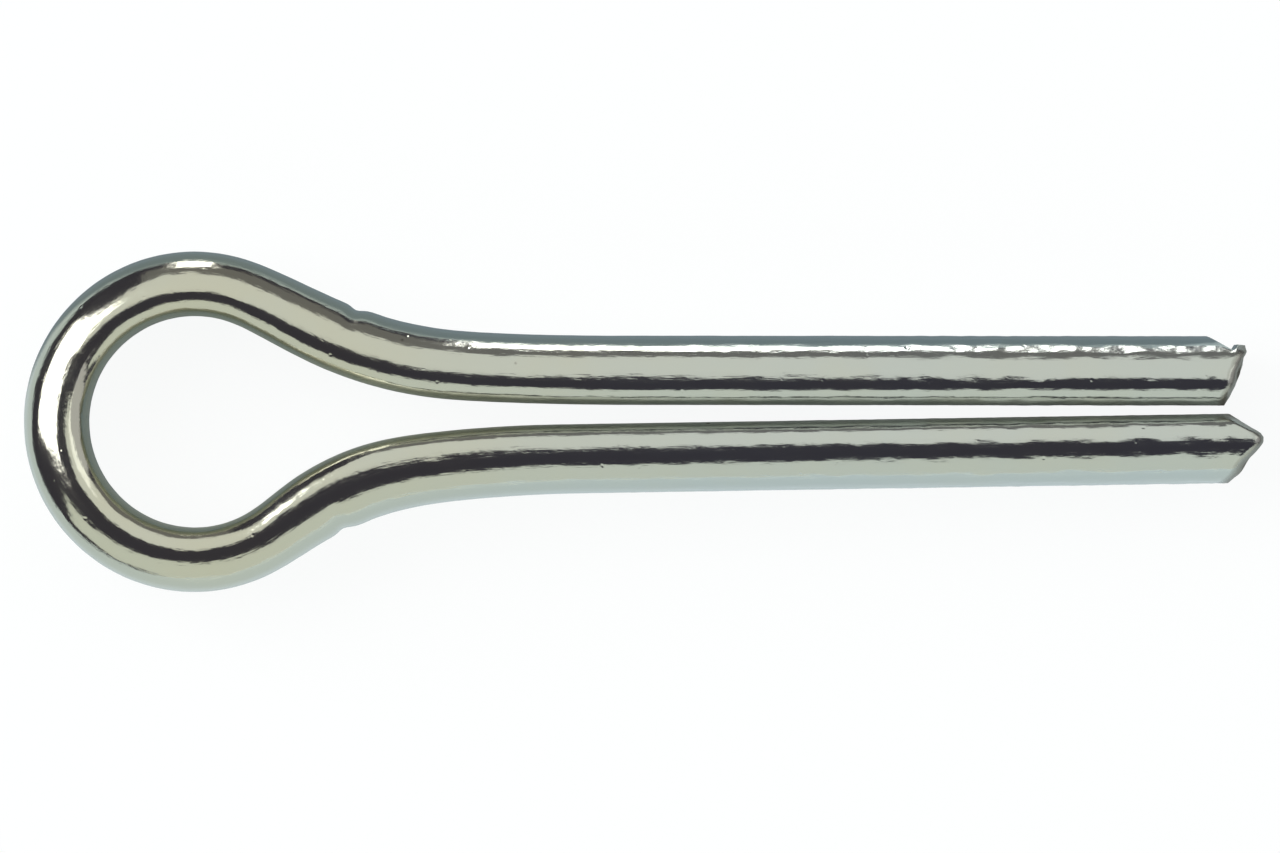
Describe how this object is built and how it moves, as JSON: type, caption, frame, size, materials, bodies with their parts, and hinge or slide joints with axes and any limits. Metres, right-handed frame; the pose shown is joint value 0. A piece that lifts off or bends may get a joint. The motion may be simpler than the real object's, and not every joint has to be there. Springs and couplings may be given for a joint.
{
  "type": "cotter pin",
  "caption": "Split pin of folded half-round wire: a round eye narrows to two straight prongs that go through a cross hole and are bent back to lock it.",
  "frame": {"origin": "on the shank axis, in the plane where the shank meets the mouth of the cross hole, midway across the wire's width", "axes": "+X along the shank towards the tips, +Y across the two prongs towards the shorter one, +Z along the width of the wire; the pin lies flat on its -Z side"},
  "size_m": [0.0387, 0.0107, 0.0042],
  "materials": {
    "zinc_plated_steel": "bright clear zinc plate over drawn wire"
  },
  "bodies": {
    "root": {"pin": "zinc_plated_steel"}
  },
  "joints": []
}
